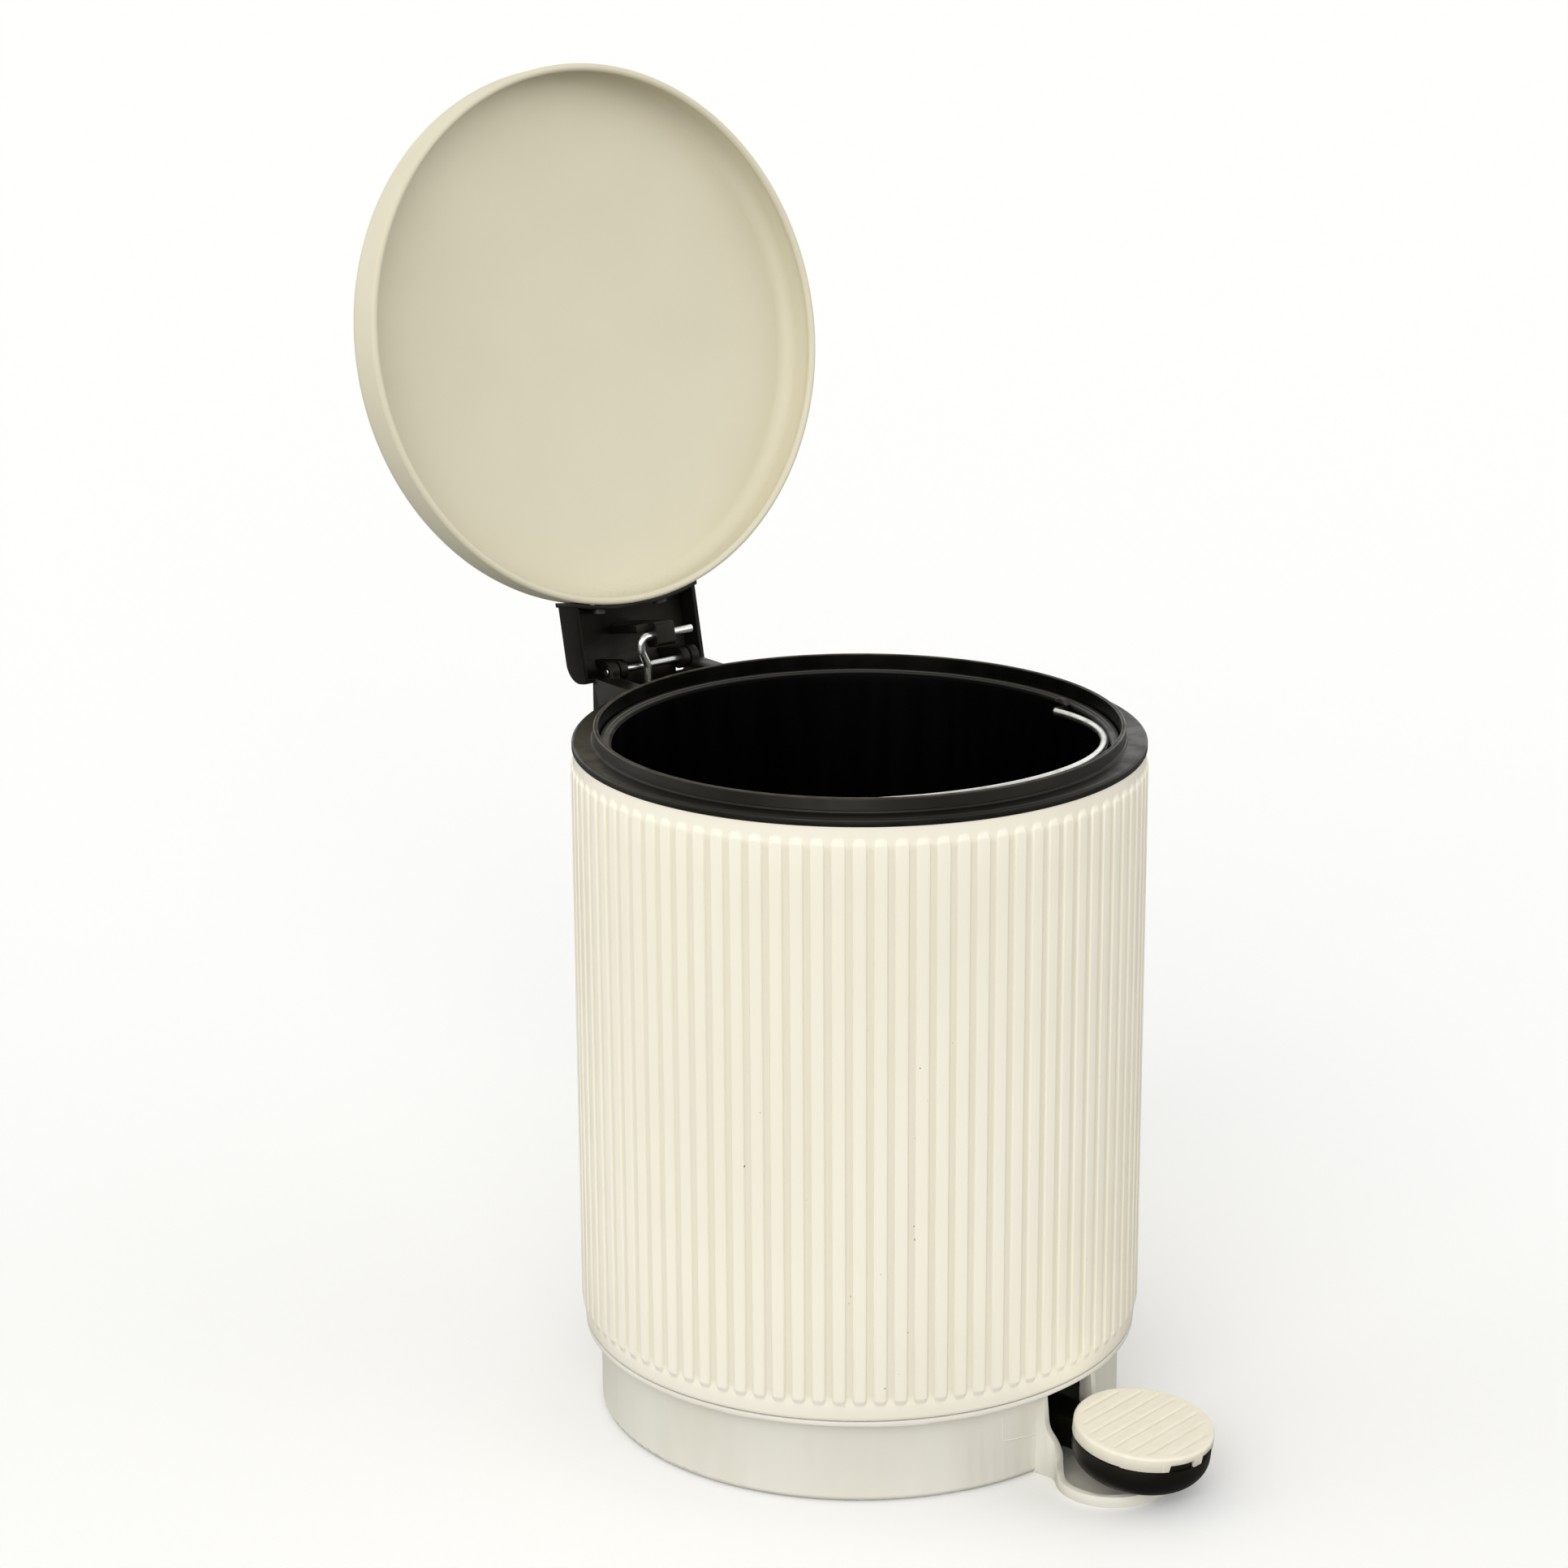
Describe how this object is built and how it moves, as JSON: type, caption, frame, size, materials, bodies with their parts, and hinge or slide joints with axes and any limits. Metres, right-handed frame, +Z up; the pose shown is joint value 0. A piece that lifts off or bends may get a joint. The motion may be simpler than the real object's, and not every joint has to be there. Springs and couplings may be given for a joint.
{
  "type": "pedal trash can",
  "caption": "Round ribbed pedal bin with a hinged dished lid, inner bucket with a wire handle, foot pedal, lift rod and moulded base.",
  "frame": {"origin": "on the drum's axis at the floor, under the base", "axes": "+Z up along the drum's axis; the pedal points along -Y; the lid's hinge is near +Y, turned 10.5 degrees towards +X"},
  "size_m": [0.232, 0.3474, 0.475],
  "materials": {
    "cream_paint": "matt powder coat",
    "base_plastic": "satin moulded",
    "black_plastic": "fine moulded texture",
    "bucket_plastic": "satin moulded",
    "pedal_plastic": "satin moulded",
    "bright_wire": "zinc plated",
    "plain_steel": "zinc plated",
    "blackened_steel": "black oxide",
    "sheet_steel": "mill"
  },
  "bodies": {
    "bin": {"outer_shell": "cream_paint", "shell_bottom_plate": "sheet_steel", "base": "base_plastic", "base_screws": "plain_steel", "pivot_pin": "plain_steel", "pivot_clamps": "black_plastic", "clamp_screws": "plain_steel", "top_ring": "black_plastic", "hinge_housing": "black_plastic", "housing_screws": "plain_steel", "hinge_pin": "bright_wire", "inner_bucket": "bucket_plastic"},
    "lid": {"lid": "cream_paint", "lid_bracket": "black_plastic", "lid_rivets": "blackened_steel", "rod_clip": "black_plastic"},
    "lift_rod": {"lift_rod": "bright_wire"},
    "pedal": {"pedal_lever": "black_plastic", "pedal_cap": "pedal_plastic"},
    "handle": {"bail_handle": "bright_wire"}
  },
  "joints": [
    {"name": "lid_hinge", "type": "hinge", "parent": "bin", "child": "lid", "pos_m": [0.0228, 0.12301, 0.2537], "axis": [0.9833, -0.1822, 0], "range_deg": [0, 101.8]},
    {"name": "lift_rod_swing", "type": "hinge", "parent": "lid", "child": "lift_rod", "pos_m": [0.02199, 0.11863, 0.26592], "axis": [0.9833, -0.1822, 0], "range_deg": [-100.2, 0]},
    {"name": "pedal_pivot", "type": "hinge", "parent": "bin", "child": "pedal", "pos_m": [0, -0.035, 0.014], "axis": [-1, 0, 0], "range_deg": [0, 9.5]},
    {"name": "handle_swing", "type": "hinge", "parent": "bin", "child": "handle", "pos_m": [0, 0, 0.2495], "axis": [-0.9511, 0.309, 0], "range_deg": [0, 170]}
  ],
  "couplings": [
    {"joint": "lift_rod_swing", "follows": "lid_hinge", "ratio": -0.9836},
    {"joint": "pedal_pivot", "follows": "lid_hinge", "ratio": 0.0933}
  ]
}
